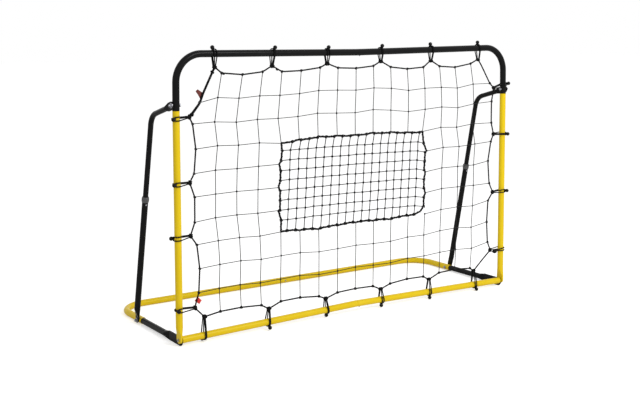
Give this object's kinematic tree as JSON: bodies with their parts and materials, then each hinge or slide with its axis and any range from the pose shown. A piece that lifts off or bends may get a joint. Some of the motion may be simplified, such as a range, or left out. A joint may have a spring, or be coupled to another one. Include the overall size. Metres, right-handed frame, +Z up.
{
  "type": "pitch back rebounder",
  "caption": "Free-standing ball rebounder: a mesh net with a finer target panel, tied by elastic ball loops into an upright tube frame on a floor base, with a telescopic strut each side.",
  "frame": {"origin": "centre of the part's footprint on the floor", "axes": "+X along the bars, to the right of someone standing in front of the net; +Y from the net back to the rear bar; +Z up"},
  "size_m": [1.8744, 0.7142, 1.2516],
  "materials": {
    "yellow_paint": "smooth powder coat, semi-gloss",
    "black_paint": "smooth powder coat, semi-gloss",
    "zinc": "bright zinc plate",
    "collar_plastic": "moulded, fine satin",
    "ball_plastic": "moulded, half gloss",
    "net_cord": "twisted polyethylene cord",
    "edge_rope": "braided rope",
    "elastic": "braided elastic cord",
    "red_cloth": "woven tape"
  },
  "bodies": {
    "base": {"side_tube_left": "black_paint", "side_tube_right": "black_paint", "rear_tube_left": "yellow_paint", "rear_tube_right": "yellow_paint", "rear_joint_spring": "zinc", "foot_bolts": "zinc", "foot_nuts": "zinc", "foot_washers": "zinc"},
    "front_frame": {"post_left": "yellow_paint", "post_right": "yellow_paint", "top_hoop_left": "black_paint", "top_hoop_right": "black_paint", "bottom_bar_left": "yellow_paint", "bottom_bar_right": "yellow_paint", "bar_end_inserts": "zinc", "corner_bolts": "zinc", "top_joint_spring": "zinc", "bottom_joint_spring": "zinc", "strut_top_bolts": "zinc", "strut_top_nuts": "zinc", "strut_top_washers": "zinc", "net_top_band": "net_cord", "net_bottom_band": "net_cord", "net_left_band": "net_cord", "net_right_band": "net_cord", "edge_rope": "edge_rope", "target_net": "net_cord", "target_border": "edge_rope", "net_tags": "red_cloth", "loops_top": "elastic", "loops_bottom": "elastic", "loops_left": "elastic", "loops_right": "elastic", "balls_top": "ball_plastic", "balls_bottom": "ball_plastic", "balls_left": "ball_plastic", "balls_right": "ball_plastic"},
    "left_upper_strut": {"strut_upper_left": "black_paint"},
    "right_upper_strut": {"strut_upper_right": "black_paint"},
    "left_lower_strut": {"strut_lower_left": "black_paint", "collar_rivet_left": "zinc"},
    "right_lower_strut": {"strut_lower_right": "black_paint", "collar_rivet_right": "zinc"},
    "left_collar": {"lock_collar_left": "collar_plastic"},
    "right_collar": {"lock_collar_right": "collar_plastic"},
    "top_button": {"top_joint_button": "zinc"},
    "bottom_button": {"bottom_joint_button": "zinc"},
    "rear_button": {"rear_joint_button": "zinc"}
  },
  "joints": [
    {"name": "frame_lean", "type": "hinge", "parent": "base", "child": "front_frame", "pos_m": [0, -0.32285, 0.027], "axis": [-1, 0, 0], "range_deg": [0, 15]},
    {"name": "left_strut_swing", "type": "hinge", "parent": "front_frame", "child": "left_upper_strut", "pos_m": [-0.9194, -0.32285, 1.007], "axis": [1, 0, 0], "range_deg": [0, 1]},
    {"name": "left_strut_slide", "type": "slide", "parent": "left_upper_strut", "child": "left_lower_strut", "axis": [0, -0.2079, 0.9781], "range_m": [0, 0.105]},
    {"name": "left_collar_twist", "type": "hinge", "parent": "left_lower_strut", "child": "left_collar", "pos_m": [-0.9194, 0.08315, 0.01695], "axis": [0, 0.2079, -0.9781], "range_deg": [0, 90]},
    {"name": "right_strut_swing", "type": "hinge", "parent": "front_frame", "child": "right_upper_strut", "pos_m": [0.9194, -0.32285, 1.007], "axis": [1, 0, 0], "range_deg": [0, 1]},
    {"name": "right_strut_slide", "type": "slide", "parent": "right_upper_strut", "child": "right_lower_strut", "axis": [0, -0.2079, 0.9781], "range_m": [0, 0.105]},
    {"name": "right_collar_twist", "type": "hinge", "parent": "right_lower_strut", "child": "right_collar", "pos_m": [0.9194, 0.08315, 0.01695], "axis": [0, 0.2079, -0.9781], "range_deg": [0, 90]},
    {"name": "top_button_press", "type": "slide", "parent": "front_frame", "child": "top_button", "axis": [-0.0101, 0, 0.9999], "range_m": [0, 0.0045], "stiffness_N_per_m": 2500, "springref_m": -0.001, "deforming": ["top_joint_spring"]},
    {"name": "bottom_button_press", "type": "slide", "parent": "front_frame", "child": "bottom_button", "axis": [0.019, 0, 0.9998], "range_m": [0, 0.0045], "stiffness_N_per_m": 2500, "springref_m": -0.001, "deforming": ["bottom_joint_spring"]},
    {"name": "rear_button_press", "type": "slide", "parent": "base", "child": "rear_button", "axis": [0, 1, -0.0075], "range_m": [0, 0.0045], "stiffness_N_per_m": 2500, "springref_m": -0.001, "deforming": ["rear_joint_spring"]}
  ],
  "couplings": [
    {"joint": "left_strut_swing", "follows": "frame_lean", "ratio": 0.052},
    {"joint": "left_strut_slide", "follows": "frame_lean", "m_per_rad": 0.39},
    {"joint": "right_strut_swing", "follows": "frame_lean", "ratio": 0.052},
    {"joint": "right_strut_slide", "follows": "frame_lean", "m_per_rad": 0.39}
  ]
}
